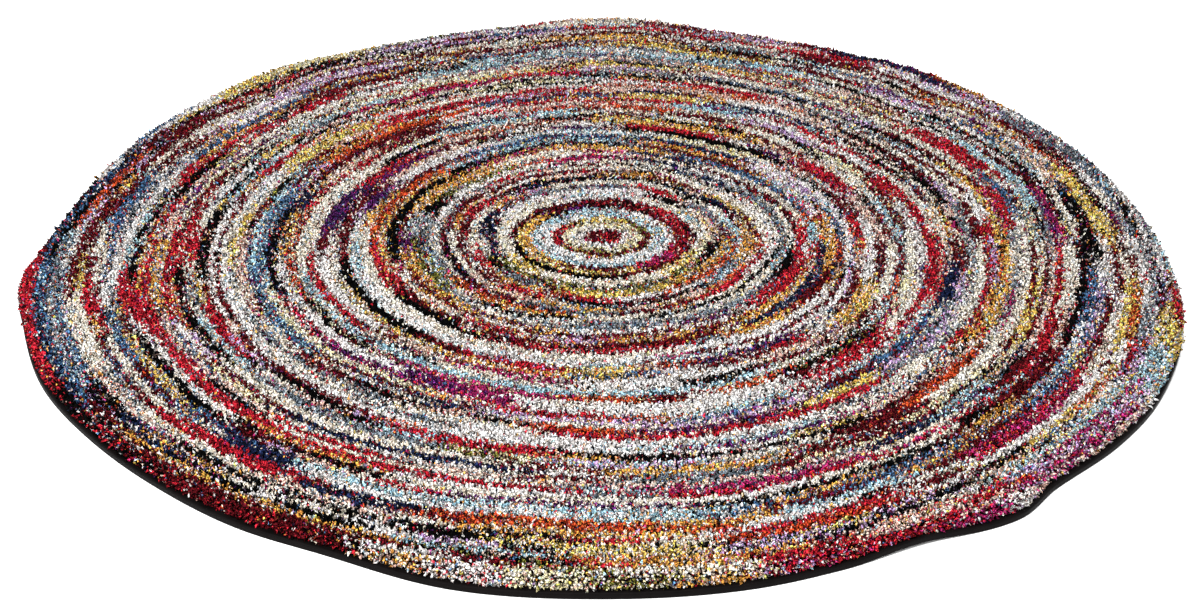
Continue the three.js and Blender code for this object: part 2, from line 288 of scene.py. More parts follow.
# Yarns of the rows that run in contrast to a pale or a deep ring, and of the flecks in every row
DEEP_YARNS = "black maroon crimson black navy magenta black plum black steel maroon black vermilion".split()
PALE_YARNS = "white cream peach sky orange cream gold white sky orange lilac cream white".split()
FLECKS = """
    white cream peach black black maroon crimson cream white black peach black orange steel crimson black
""".split()

# Width of a row, and the shortest and longest stretch of one yarn along it, in millimetres
ROW_WIDTH = 10.2
STRETCH = (90.0, 380.0)

# Steps to a degree along a row, and how many of them its mixes may slip either way
ROW_STEPS = 4
ROW_SLIP = 8

# How steadily a yarn leads its stretch, at least and at most
STEADY = (0.42, 0.96)

# Share of a row that runs in contrast, where it is unlike or like the row inside it; less in a named stretch
CONTRAST_SHARES = {"unlike": 0.12, "alike": 0.72, "in_stretches": 0.5}

# Only the rings between these radii have rows in contrast.
CONTRAST_RINGS = (160, 770)

# A dye counts as pale where its mean light is above this.
PALE_FROM = 0.3

# How far yarn ends stray across and along their row, in millimetres
STRAY_ACROSS = 1.3
STRAY_ALONG = 14

# Share of flecks among the ends that don't follow their row, for each of the two dyes of an end, and the
# share of those flecks that is as pale or as deep as the row
FLECK_SHARES = (0.5, 0.6)
LIKE_FLECKS = 0.45

# Brightness of the ends: middle and spread as powers of e, and the lightest that a dye may get
TONE = (-0.04, 0.48)
LIGHTEST = 0.95

# How far the rings stray outwards near the rim: azimuth in degrees, and millimetres.
DRIFT = (
    (0, 2), (10, 9), (18, 15), (26, 8), (36, 2), (46, -9), (58, 5), (75, 2), (92, 0), (110, -8),
    (128, -10), (147, -12), (165, -16), (178, -10), (196, 4), (214, 1), (234, 0), (248, -4), (260, -9),
    (272, -2), (285, 5), (297, 2), (312, -2), (330, 0), (346, 0),
)

# The camera, worked out from the ellipse that the rim and the rings make
CAMERA_PLACE = (-0.0015, -2.7283, 1.4628)
CAMERA_DOWN = 29.596
CAMERA_ROLL = 0.409
CAMERA_LENS = 65.313
CAMERA_SENSOR = 36

# Studio light: the white surround, then each softbox with its place, aim, size and watts
SURROUND = 1.22
SOFTBOXES = (
    ("key_softbox", (-0.8, -2.4, 3.0), (0, -0.2, 0), (1.7, 1.7), 254),
    ("back_softbox", (1.4, 1.8, 3.0), (0, 0, 0), (1.6, 1.2), 52),
)

chance = np.random.default_rng(SEED)


def smooth_rise(share):
    """From 0 to 1, level at both ends."""
    t = np.clip(share, 0.0, 1.0)
    return t * t * (3 - 2 * t)


def angles_of(columns):
    return TAU * np.arange(columns) / columns


def edge_radius(angle):
    """Radius of the tape's outside at an angle: a smooth closed curve through the outline's rows."""
    azimuth = np.degrees(angle) % 360
    at = np.array([row[0] for row in OUTLINE], float)
    offset = np.array([row[1] for row in OUTLINE], float)
    count = len(at)
    after = np.searchsorted(at, azimuth, side="right")
    rows = [after + step for step in (-2, -1, 0, 1)]
    before, start, end, beyond = [
        (at[row % count] + 360 * (row // count), offset[row % count]) for row in rows
    ]
    span = end[0] - start[0]
    t = (azimuth - start[0]) / span
    start_slope = (end[1] - before[1]) / (end[0] - before[0]) * span
    end_slope = (beyond[1] - start[1]) / (beyond[0] - start[0]) * span
    bulge = (
        (2 * t**3 - 3 * t**2 + 1) * start[1]
        + (t**3 - 2 * t**2 + t) * start_slope
        + (3 * t**2 - 2 * t**3) * end[1]
        + (t**3 - t**2) * end_slope
    )
    return RUG_RADIUS + bulge * MM


def wave_lift(x, y):
    """Height of the rug's underside above the floor."""
    radius = np.hypot(x, y)
    lift = np.zeros_like(radius)
    for azimuth, height, half_width, begins in WAVES:
        heading = math.radians(azimuth)
        along = x * math.cos(heading) + y * math.sin(heading)
        across = (y * math.cos(heading) - x * math.sin(heading)) / (half_width * MM)
        rise = smooth_rise((radius - begins * MM) / (RUG_RADIUS - begins * MM))
        crown = np.clip(1 - across**2, 0, None) ** 2
        lift += np.where(along > 0, height * MM * rise * crown, 0)
    return lift


def lump_height(x, y):
    """Height of the pile's broad swells, above or below its even top."""
    swell = np.zeros_like(x)
    for heading, wavelength, height, phase in LUMPS:
        along = x * math.cos(math.radians(heading)) + y * math.sin(math.radians(heading))
        swell += height * MM * np.sin(TAU * along / (wavelength * MM) + phase)
    return swell


def frame_shift():
    """How far the part's origin lies from the middle of the rings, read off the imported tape."""
    angle = angles_of(FRAME_COLUMNS)
    radius = edge_radius(angle)
    low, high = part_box("edge_binding")
    own_x = radius * np.cos(angle)
    own_y = radius * np.sin(angle)
    middle_x = (own_x.min() + own_x.max()) / 2
    middle_y = (own_y.min() + own_y.max()) / 2
    return (low.x + high.x) / 2 - middle_x, (low.y + high.y) / 2 - middle_y


class Reading:
    """A number socket that takes part in ordinary arithmetic."""

    def __init__(self, bench, socket):
        self.bench = bench
        self.socket = socket

    def worked(self, operation, first, second=0.0):
        node = self.bench.node("ShaderNodeMath", {"operation": operation}, {0: first, 1: second})
        return Reading(self.bench, node.outputs[0])

    def __add__(self, other):
        return self.worked("ADD", self, other)

    def __radd__(self, other):
        return self.worked("ADD", other, self)

    def __sub__(self, other):
        return self.worked("SUBTRACT", self, other)

    def __rsub__(self, other):
        return self.worked("SUBTRACT", other, self)

    def __mul__(self, other):
        return self.worked("MULTIPLY", self, other)

    def __rmul__(self, other):
        return self.worked("MULTIPLY", other, self)

    def sine(self):
        return self.worked("SINE", self)

    def at_least(self, other):
        return self.worked("MAXIMUM", self, other)

    def at_most(self, other):
        return self.worked("MINIMUM", self, other)

    def between(self, least, most):
        return self.at_least(least).at_most(most)


class Bench:
    """Puts nodes into one tree: the settings first, then the values or links of the sockets."""

    def __init__(self, tree):
        self.tree = tree

    def node(self, kind, settings=None, sockets=None):
        made = self.tree.nodes.new(kind)
        for name, value in (settings or {}).items():
            if name == "stops":
                self.set_stops(made.color_ramp, value)
            else:
                setattr(made, name, value)
        for name, value in (sockets or {}).items():
            self.feed(made.inputs[name], value)
        return made

    def set_stops(self, ramp, stops):
        while len(ramp.elements) < len(stops):
            ramp.elements.new(1.0)
        for element, (place, color) in zip(ramp.elements, stops):
            element.position = place
            element.color = color

    def feed(self, socket, value):
        source = value.socket if isinstance(value, Reading) else value
        if isinstance(source, bpy.types.NodeSocket):
            self.tree.links.new(source, socket)
        else:
            socket.default_value = source

    def number(self, kind, settings=None, sockets=None, output=0):
        return Reading(self, self.node(kind, settings, sockets).outputs[output])

    def vector(self, operation, *values):
        node = self.node("ShaderNodeVectorMath", {"operation": operation}, dict(enumerate(values)))
        return node.outputs[0]

    def dimmed(self, color, by):
        sockets = {"Vector": color, "Scale": by}
        return self.node("ShaderNodeVectorMath", {"operation": "SCALE"}, sockets).outputs[0]

    def mixed(self, share, first, second):
        settings = {"data_type": "RGBA"}
        return self.node("ShaderNodeMix", settings, {"Factor": share, 6: first, 7: second}).outputs[2]

    def from_mesh(self, name, output="Fac"):
        """A number, or a colour, that the piece's mesh holds under this name."""
        return self.node("ShaderNodeAttribute", {"attribute_name": name}).outputs[output]

    def place(self):
        return self.node("ShaderNodeTexCoord").outputs["Object"]

    def noise(self, place, scale, detail):
        return self.number("ShaderNodeTexNoise", {}, {"Vector": place, "Scale": scale, "Detail": detail})

    def ramp(self, share, stops):
        return self.node("ShaderNodeValToRGB", {"stops": stops}, {0: share}).outputs[0]

    def raise_surface(self, shader, height, strength, distance):
        relief = {"Strength": strength, "Distance": distance, "Height": height}
        self.feed(shader.inputs["Normal"], self.node("ShaderNodeBump", {}, relief).outputs[0])


def linear(dye):
    """A dye's red, green and blue as light, from its usual six digits."""
    shown = [int(dye[place : place + 2], 16) / 255 for place in (0, 2, 4)]
    return [c / 12.92 if c <= 0.04045 else ((c + 0.055) / 1.055) ** 2.4 for c in shown]


def finish_of(name, constants):
    """A new material with these constant values on its shader: the material, its bench and the shader."""
    material = bpy.data.materials.new(name)
    material.use_nodes = True
    shader = material.node_tree.nodes["Principled BSDF"]
    for socket, value in constants.items():
        shader.inputs[socket].default_value = value
    return material, Bench(material.node_tree), shader


def yarn_finish():
    """Twisted, curled yarn of two dyes from the piece, with painted shade between its curls and down in the
    pile.
    """
    material, bench, shader = finish_of("shag_yarn", {"Specular IOR Level": 0.02})
    place = bench.place()

    # The curls are cells about 2 mm wide, bent by up to about a millimetre, and the fibres finer still.
    curl_scale, wobble_scale, fibre_scale = 460.0, 700.0, 1900.0
    wobble = bench.node("ShaderNodeTexNoise", {}, {"Vector": place, "Scale": wobble_scale, "Detail": 1.0})
    bent = bench.vector("MULTIPLY_ADD", wobble.outputs["Color"], (0.0022,) * 3, place)
    curls = bench.node("ShaderNodeTexVoronoi", {}, {"Vector": bent, "Scale": curl_scale}).outputs
    from_curl = Reading(bench, curls["Distance"])
    lots = bench.node("ShaderNodeSeparateXYZ", {}, {0: curls["Color"]}).outputs
    dye_lot, gap_lot = Reading(bench, lots[0]), Reading(bench, lots[1])
    fibre = bench.noise(place, fibre_scale, 1.0)

    # Each curl has one of the two dyes.
    first, second = bench.from_mesh("yarn_dye", "Color"), bench.from_mesh("strand_dye", "Color")
    dye = bench.mixed(((dye_lot - 0.5) * 12).between(0.0, 1.0), first, second)

    # Painted shade in the colour: darker towards the roots, between the curls, and on the curls that lie
    # back in a gap, with painted light on the middles of the curls.
    rise, bare = Reading(bench, bench.from_mesh("rise")), Reading(bench, bench.from_mesh("bare"))
    depth_shade = (rise * 2.6 - 1.6).at_least(bare).at_most(1.0)
    curl_shade = (1.65 - from_curl * from_curl * 3.4).at_least(0.06)
    gap_shade = (gap_lot * 3.6 - 0.5).between(0.05, 1.2)
    shade = (depth_shade * 0.55 + 0.45) * curl_shade * gap_shade * (fibre + 0.5)

    # Painted bounce light: pale yarns throw light on one another, so their painted shade is lighter, but for
    # the deepest gaps.
    thrown = {0: dye, 1: (0.13,) * 3}
    bounced = bench.number("ShaderNodeVectorMath", {"operation": "DOT_PRODUCT"}, thrown, "Value")
    reached = (gap_lot * 11 - 0.6).between(0.1, 1.0)
    shade = shade.at_least(bounced * reached).at_most(1.08)

    bench.feed(shader.inputs["Base Color"], bench.dimmed(dye, shade))
    bench.feed(shader.inputs["Roughness"], fibre * 0.3 + 0.5)
    bench.raise_surface(shader, fibre * 0.4 - from_curl, strength=0.8, distance=0.001)
    return material


def base_finish():
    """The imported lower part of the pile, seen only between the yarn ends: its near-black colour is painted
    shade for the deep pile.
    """
    material, bench, shader = finish_of("pile_base", {"Specular IOR Level": 0.1, "Roughness": 0.95})
    place = bench.place()
    from_tuft = bench.number("ShaderNodeTexVoronoi", {}, {"Vector": place, "Scale": 210.0}, "Distance")
    # Near-black colour with a little random tone: painted shade for the depths of the pile.
    stops = ((0.3, (0.012, 0.009, 0.01, 1)), (0.5, (0.05, 0.012, 0.014, 1)), (0.7, (0.045, 0.04, 0.045, 1)))
    color = bench.ramp(bench.noise(place, 60.0, 3.0), stops)
    # Painted shade, darker towards the edges of each tuft's cell, between the tufts; the same cells give the
    # bump.
    bench.feed(shader.inputs["Base Color"], bench.dimmed(color, 1.2 - from_tuft))
    bench.raise_surface(shader, 1 - from_tuft, strength=0.8, distance=0.002)
    return material


def ground_finish():
    """Plain woven back of natural jute and a thin dressing."""
    warp_pitch, weft_pitch = 0.0052, 0.0064
    material, bench, shader = finish_of("woven_ground", {"Specular IOR Level": 0.2})
    place = bench.place()
    split = bench.node("ShaderNodeSeparateXYZ", {}, {0: place}).outputs
    warp = (Reading(bench, split[0]) * (TAU / warp_pitch)).sine() * 0.5 + 0.5
    weft = (Reading(bench, split[1]) * (TAU / weft_pitch)).sine() * 0.5 + 0.5
    weave = warp.at_least(weft)
    slub = bench.noise(place, 240.0, 4.0)
    color = bench.ramp(slub, ((0.3, (0.25, 0.17, 0.095, 1)), (0.75, (0.5, 0.38, 0.235, 1))))
    bench.feed(shader.inputs["Base Color"], bench.dimmed(color, weave * 0.5 + 0.5))
    bench.feed(shader.inputs["Roughness"], slub * 0.2 + 0.75)
    bench.raise_surface(shader, weave + slub * 0.3, strength=0.7, distance=0.0012)
    return material


def tape_finish():
    """Close black twill tape with a low shine, ribbed across its length."""
    rib_pitch, thread_pitch = 0.0013, 0.0021
    constants = {"Sheen Weight": 0.005, "Sheen Roughness": 0.3, "Specular IOR Level": 0.03}
    material, bench, shader = finish_of("edge_tape", constants)
    flat = bench.node("ShaderNodeUVMap", {"uv_map": "tape_uv"}).outputs[0]
    split = bench.node("ShaderNodeSeparateXYZ", {}, {0: flat}).outputs
    run, over = Reading(bench, split[0]), Reading(bench, split[1])
    rib = ((run + over) * (TAU / rib_pitch)).sine() * 0.5 + 0.5
    thread = ((run - over * 2) * (TAU / thread_pitch)).sine() * 0.5 + 0.5
    wear = bench.noise(bench.place(), 45.0, 5.0)
    color = bench.ramp(wear, ((0.3, (0.0015, 0.0011, 0.0011, 1)), (0.75, (0.004, 0.003, 0.003, 1))))
    bench.feed(shader.inputs["Base Color"], bench.dimmed(color, rib * 0.4 + 0.7))
    bench.feed(shader.inputs["Roughness"], wear * 0.25 + 0.42)
    bench.raise_surface(shader, rib + thread * 0.4, strength=0.35, distance=0.0004)
    return material


def floor_finish():
    """Plain pale studio floor, very slightly uneven."""
    material, bench, shader = finish_of("studio_floor", {"Roughness": 0.9, "Specular IOR Level": 0.1})
    tone = bench.noise(bench.place(), 0.6, 1.0)
    bench.feed(shader.inputs["Base Color"], bench.mixed(tone, (0.9, 0.9, 0.9, 1), (0.93, 0.93, 0.925, 1)))
    return material


def add_object(name, data, collection=None):
    """A new object at the origin, in the scene or in this collection."""
    made = bpy.data.objects.new(name, data)
    (collection or bpy.context.scene.collection).objects.link(made)
    return made


def round_surface(name, rings, columns, band=False):
    """A closed surface from ring to ring, each given as its radius and height at every column. The first
    and last rings close on a middle vertex, or on each other where the surface is a band."""
    angle = angles_of(columns)
    points = []
    for radius, height in rings:
        x = radius * np.cos(angle)
        y = radius * np.sin(angle)
        points.append(np.column_stack((x + SHIFT[0], y + SHIFT[1], height + wave_lift(x, y))))
    vertices = np.concatenate(points).tolist()
    column = np.arange(columns)
    after = (column + 1) % columns
    count = len(rings)
    faces = []
    for step in range(count if band else count - 1):
        lower = step * columns
        upper = (step + 1) % count * columns
        faces += np.column_stack((lower + column, lower + after, upper + after, upper + column)).tolist()
    for step in () if band else (0, count - 1):
        start = step * columns
        fan = np.column_stack((start + column, start + after, np.full(columns, len(vertices))))
        faces += (fan[:, ::-1] if step == 0 else fan).tolist()
        vertices.append((SHIFT[0], SHIFT[1], float(np.mean(points[step][:, 2]))))
    mesh = bpy.data.meshes.new(name)
    mesh.from_pydata(vertices, [], faces, shade_flat=False)
    mesh.validate()
    return mesh


def ground_cloth():
    """The woven ground: flat on the floor, rising at its rim into the fold of the tape."""
    rim = edge_radius(angles_of(BODY_COLUMNS)) - TAPE_FOLD - FIT_GAP
    lip = (TAPE_HEIGHT - GROUND_THICKNESS) / 2
    level_rim, slope = 0.012, 0.05
    shares = (0.1, 0.25, 0.4, 0.52, 0.62, 0.7, 0.77, 0.83, 0.88, 0.92, 0.95, 0.967, 0.982, 1.0)

    def under(share):
        inset = rim * (1 - share)
        return lip * (1 - smooth_rise((inset - level_rim) / slope))

    rings = [(rim * share, under(share)) for share in shares]
    rings += [(rim * share, under(share) + GROUND_THICKNESS) for share in reversed(shares)]
    return add_object("ground_cloth", round_surface("ground_cloth", rings, BODY_COLUMNS))


def pile_base():
    """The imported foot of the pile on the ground."""
    angle = angles_of(BODY_COLUMNS)
    rim = edge_radius(angle) - TAPE_WIDTH - FIT_GAP
    foot = (TAPE_HEIGHT + GROUND_THICKNESS) / 2 + FIT_GAP
    radii = [rim * share for share in (0.2, 0.4, 0.55, 0.7, 0.8, 0.9, 0.96)]

    def level(height):
        return np.full(BODY_COLUMNS, height)

    rings = [(radius, level(foot)) for radius in radii]
    rings += [(rim, level(height)) for height in (foot, TAPE_HEIGHT + FIT_GAP)]
    rings += [(rim - inset * MM, level(BASE_TOP - drop * MM)) for inset, drop in BASE_SHOULDER]
    for radius in reversed(radii):
        rings.append((radius, BASE_TOP + lump_height(radius * np.cos(angle), radius * np.sin(angle))))
    return add_object("pile_base", round_surface("pile_base", rings, BODY_COLUMNS))


def edge_tape():
    """The tape folded round the cut edge, open towards the middle of the rug, sewn end to end."""
    outside = edge_radius(angles_of(TAPE_COLUMNS))
    corner = 2.2 * MM
    slot_bottom = (TAPE_HEIGHT - GROUND_THICKNESS) / 2 - FIT_GAP
    slot_top = TAPE_HEIGHT - slot_bottom
    turn = np.radians((0, 22, 45, 68, 90))
    shoulder = TAPE_WIDTH - 0.5 * MM
    middle = TAPE_WIDTH * 0.6
    section = [(TAPE_WIDTH, 0.4 * MM), (shoulder, 0), (middle, 0)]
    section += [(corner - corner * math.sin(t), corner - corner * math.cos(t)) for t in turn]
    section += [(corner - corner * math.cos(t), TAPE_HEIGHT - corner + corner * math.sin(t)) for t in turn]
    section += [(middle, TAPE_HEIGHT), (shoulder, TAPE_HEIGHT), (TAPE_WIDTH, slot_top + 0.6 * MM)]
    section += [(TAPE_WIDTH, slot_top), (TAPE_FOLD, slot_top)]
    section += [(TAPE_FOLD, slot_bottom), (TAPE_WIDTH, slot_bottom)]
    rings = [(outside - inset, np.full(TAPE_COLUMNS, height)) for inset, height in section]
    mesh = round_surface("edge_tape", rings, TAPE_COLUMNS, band=True)

    # The tape laid flat: along its length, and over its section.
    step = TAU * RUG_RADIUS / TAPE_COLUMNS
    run = np.arange(TAPE_COLUMNS) * TAU * RUG_RADIUS / TAPE_COLUMNS
    reach = np.cumsum([0] + [math.dist(a, b) for a, b in zip(section, section[1:] + section[:1])])
    flat = np.zeros((len(section), TAPE_COLUMNS, 4, 2))
    flat[:, :, (0, 3), 0] = run[None, :, None]
    flat[:, :, (1, 2), 0] = run[None, :, None] + step
    flat[:, :, (0, 1), 1] = reach[:-1, None, None]
    flat[:, :, (2, 3), 1] = reach[1:, None, None]
    mesh.uv_layers.new(name="tape_uv").data.foreach_set("uv", flat.ravel())
    return add_object("edge_tape", mesh)


def yarn_form(name, drops):
    """One yarn end, 1 wide and 1 tall: three-sided, spreading from its root to a slanted, pointed end."""
    turns = [TAU * i / 3 for i in range(3)]
    corners = [(0.5 * math.cos(turn), 0.5 * math.sin(turn), 1 - drop) for turn, drop in zip(turns, drops)]

    # Laid flat in a square: the top above, the three sides in a row below it
    top_foot, side_top = 0.3, 0.26
    faces, places = [(0, 1, 2)], [((0, top_foot), (1, top_foot), (0.5, 1))]
    for i in range(3):
        faces.append(((i + 1) % 3, i, 3))
        places.append((((i + 1) / 3, side_top), (i / 3, side_top), ((i + 0.5) / 3, 0)))
    mesh = bpy.data.meshes.new(name)
    mesh.from_pydata([*corners, (0.0, 0.0, 0.0)], [], faces, shade_flat=False)
    rise = mesh.attributes.new("rise", "FLOAT", "POINT")
    rise.data.foreach_set("value", [*(1 - drop for drop in drops), 0.0])
    layer = mesh.uv_layers.new(name="yarn_uv")
    layer.data.foreach_set("uv", [value for face in places for place in face for value in place])
    return mesh


def yarn_tree():
    """Geometry Nodes that set one yarn end on each point, leaning as the point says."""
    tree = bpy.data.node_groups.new("shag_yarns", "GeometryNodeTree")
    inputs = (
        ("Geometry", "NodeSocketGeometry"),
        ("Yarn Forms", "NodeSocketCollection"),
        ("Yarn Width", "NodeSocketFloat"),
        ("Width Spread", "NodeSocketFloat"),
        ("Lean Spread", "NodeSocketFloat"),
        ("Cell Size", "NodeSocketFloat"),
        ("Seed", "NodeSocketInt"),
        ("Material", "NodeSocketMaterial"),
    )
    for name, kind in inputs:
        tree.interface.new_socket(name, in_out="INPUT", socket_type=kind)
    tree.interface.new_socket("Geometry", in_out="OUTPUT", socket_type="NodeSocketGeometry")
    bench = Bench(tree)
    given = bench.node("NodeGroupInput").outputs

    def attribute(name, kind):
        return bench.node("GeometryNodeInputNamedAttribute", {"data_type": kind}, {"Name": name}).outputs[0]

    def random_number(low, high, seed_step):
        sockets = {2: low, 3: high, "Seed": seed + seed_step}
        return bench.number("FunctionNodeRandomValue", {"data_type": "FLOAT"}, sockets, 1)

    def combined(x, y, z):
        return bench.node("ShaderNodeCombineXYZ", {}, {0: x, 1: y, 2: z}).outputs[0]

    # Turned the way it leans, swayed a little, and twisted at random
    seed, sway = Reading(bench, given["Seed"]), Reading(bench, given["Lean Spread"])
    swayed = combined(random_number(-1, 1, 1) * sway, random_number(-1, 1, 2) * sway, 0.0)
    heading = bench.vector("ADD", attribute("lean", "FLOAT_VECTOR"), swayed)
    upright = bench.node("FunctionNodeAlignRotationToVector", {"axis": "Z"}, {"Vector": heading}).outputs[0]
    twist = bench.node("FunctionNodeEulerToRotation", {}, {0: combined(0.0, 0.0, random_number(0, TAU, 3))})
    turning = {"Rotation": upright, "Rotate By": twist.outputs[0]}
    rotation = bench.node("FunctionNodeRotateRotation", {"rotation_space": "LOCAL"}, turning).outputs[0]

    # As long as the point says, and more or less thick
    thickness = random_number(-1, 1, 4) * Reading(bench, given["Width Spread"]) + 1.0
    breadth = Reading(bench, given["Yarn Width"]) * thickness
    forms = {"Collection": given["Yarn Forms"], "Separate Children": True}

    # Any of the forms: a whole number from 0 to 99, counted round them
    any_form = {4: 0, 5: 99, "Seed": seed + 5}
    placing = {
        "Points": given["Geometry"],
        "Instance": bench.node("GeometryNodeCollectionInfo", {}, forms).outputs[0],
        "Pick Instance": True,
        "Instance Index": bench.node("FunctionNodeRandomValue", {"data_type": "INT"}, any_form).outputs[2],
        "Rotation": rotation,
        "Scale": combined(breadth, breadth, attribute("length", "FLOAT")),
    }
    placed = bench.node("GeometryNodeInstanceOnPoints", {}, placing).outputs[0]
    real = bench.node("GeometryNodeRealizeInstances", {}, {"Geometry": placed}).outputs[0]

    # A cell of its own in the flat layout, with a margin of a tenth
    flat = attribute("yarn_uv", "FLOAT_VECTOR")
    inside = bench.vector("MULTIPLY_ADD", flat, (0.8,) * 3, (0.1, 0.1, 0.0))
    sized = bench.dimmed(inside, given["Cell Size"])
    celled = bench.vector("ADD", attribute("cell", "FLOAT_VECTOR"), sized)
    storing = {"Geometry": real, "Name": "OFBake", "Value": celled}
    per_corner = {"data_type": "FLOAT2", "domain": "CORNER"}
    stored = bench.node("GeometryNodeStoreNamedAttribute", per_corner, storing).outputs[0]
    dressing = {"Geometry": stored, "Material": given["Material"]}
    dressed = bench.node("GeometryNodeSetMaterial", {}, dressing).outputs[0]
    bench.node("NodeGroupOutput", {}, {0: dressed})
    return tree


def settle(piece, tree, values):
    """Runs a tree on a piece with these inputs and leaves a plain mesh."""
    modifier = piece.modifiers.new(tree.name, "NODES")
    modifier.node_group = tree
    for item in tree.interface.items_tree:
        if item.in_out == "INPUT" and item.name in values:
            modifier[item.identifier] = values[item.name]
    graph = bpy.context.evaluated_depsgraph_get()
    made = bpy.data.meshes.new_from_object(
        piece.evaluated_get(graph), preserve_all_data_layers=True, depsgraph=graph
    )
    piece.modifiers.clear()
    piece.data = made
    made.name = piece.name
    return piece


class Mixes:
    """The mixes of yarns in the table of rings, numbered, and the yarns picked from them."""

    def __init__(self):
        self.names = list(YARN_DYES)
        named = [ring[1] for ring in RINGS] + [yarns for ring in RINGS for _, _, yarns in ring[2:]]
        self.index = {yarns: number for number, yarns in enumerate(dict.fromkeys(named))}
        self.yarns = np.array([self.numbers((yarns.split() * 4)[:4]) for yarns in self.index])

        # Where the shares of the first, second and third yarn end, in a mix of one to four
        ends = {1: (1, 1, 1), 2: (0.64, 1, 1), 3: (0.48, 0.76, 1), 4: (0.36, 0.62, 0.82)}
        self.ends = np.array([ends[len(yarns.split())] for yarns in self.index])

    def numbers(self, names):
        return np.array([self.names.index(name) for name in names])

    def pick(self, mix, lot):
        """The yarn of each mix that a number from 0 to 1 falls on."""
        place = (lot[..., None] > self.ends[mix]).sum(-1)
        return np.take_along_axis(self.yarns[mix], place[..., None], -1)[..., 0]


def dye_lights():
    """Each dye's red, green and blue as light, in the order of the table."""
    return np.array([linear(dye) for dye, _ in YARN_DYES.values()])


def stretches_of_lots(azimuth, radius):
    """A number from 0 to 1 for each azimuth that stays the same along one stretch of yarn."""
    smallest_radius = 30
    lot = np.zeros(azimuth.size)
    at = -chance.uniform(0, 360)
    while at < 360:
        length = math.degrees(chance.uniform(*STRETCH) / max(radius, smallest_radius))
        lot[(azimuth >= at) & (azimuth < at + length)] = chance.random()
        at += length
    return lot


def pile_rows(mixes):
    """Rows of pile from the middle out: their outer radii, and at each step round the yarn that leads
    there, the mix around it and how steadily it leads. A row may run in contrast to its ring, mostly where
    it would be as pale or as deep as the row inside it."""
    azimuth = np.arange(360 * ROW_STEPS) / ROW_STEPS
    unmixed = np.array([share for _, share in YARN_DYES.values()])
    is_pale = dye_lights().mean(1) > PALE_FROM
    deep, pale = mixes.numbers(DEEP_YARNS), mixes.numbers(PALE_YARNS)
    edges, row_yarn, row_mix, steady = [], [], [], []
    inner = 0.0
    before = np.zeros(azimuth.size, bool)
    for outer, around, *stretches in RINGS:
        mix = np.full(azimuth.size, mixes.index[around])
        named = np.zeros(azimuth.size, bool)
        for start, end, yarns in stretches:
            within = (azimuth - start) % 360 < end - start
            mix[within] = mixes.index[yarns]
            named |= within
        count = max(1, round((outer - inner) / ROW_WIDTH))
        contrasts = CONTRAST_RINGS[0] < outer < CONTRAST_RINGS[1]
        for row in range(count):
            slip = int(chance.integers(-ROW_SLIP, ROW_SLIP + 1))
            carried = np.roll(mix, slip)

            # Neighbouring rows of a ring start from opposite ends of its mix.
            lead = (stretches_of_lots(azimuth, outer) + row * 0.5) % 1
            own = mixes.pick(carried, lead)
            lot = stretches_of_lots(azimuth, outer)
            deeper, paler = deep[(lot * len(deep)).astype(int)], pale[(lot * len(pale)).astype(int)]
            against = np.where(is_pale[own], deeper, paler)
            alike = is_pale[own] == before
            share = np.where(alike, CONTRAST_SHARES["alike"], CONTRAST_SHARES["unlike"])
            share = share * np.where(np.roll(named, slip), CONTRAST_SHARES["in_stretches"], 1)
            turned = stretches_of_lots(azimuth, outer) < contrasts * share
            leader = np.where(turned, against, own)
            steadiness = STEADY[0] + (STEADY[1] - STEADY[0]) * stretches_of_lots(azimuth, outer)

            edges.append(inner + (outer - inner) * (row + 1) / count)
            row_yarn.append(leader)
            row_mix.append(carried)
            steady.append(steadiness * unmixed[leader])
            before = is_pale[leader]
        inner = outer
    return np.array(edges), np.array(row_yarn), np.array(row_mix), np.array(steady)


def ring_radius(x, y):
    """Radius among the rings in millimetres: pointed sideways near the middle, and straying further out."""
    angle = np.arctan2(y, x)
    radius = np.hypot(x, y) / MM

    # Two arcs that meet at the sides: 12 mm apart from the middle to 200 mm out, and one circle from 400 mm
    point = 12 * (1 - smooth_rise((radius - 200) / 200))
    pointed = np.hypot(x / MM, np.abs(y) / MM + point) - point

    # The drift sets in from 380 to 680 mm, and a small waver from the middle to 200 mm.
    at, stray = np.array(DRIFT, float).T
    drift = np.interp(np.degrees(angle), at, stray, period=360) * smooth_rise((radius - 380) / 300)
    waver = 2.2 * np.sin(3 * angle + radius / 70 + 1.0) + 1.8 * np.sin(5 * angle - radius / 55 + 2.0)
    waver += 1.2 * np.sin(11 * angle + radius / 37)
    return pointed - drift + waver * smooth_rise(radius / 200)


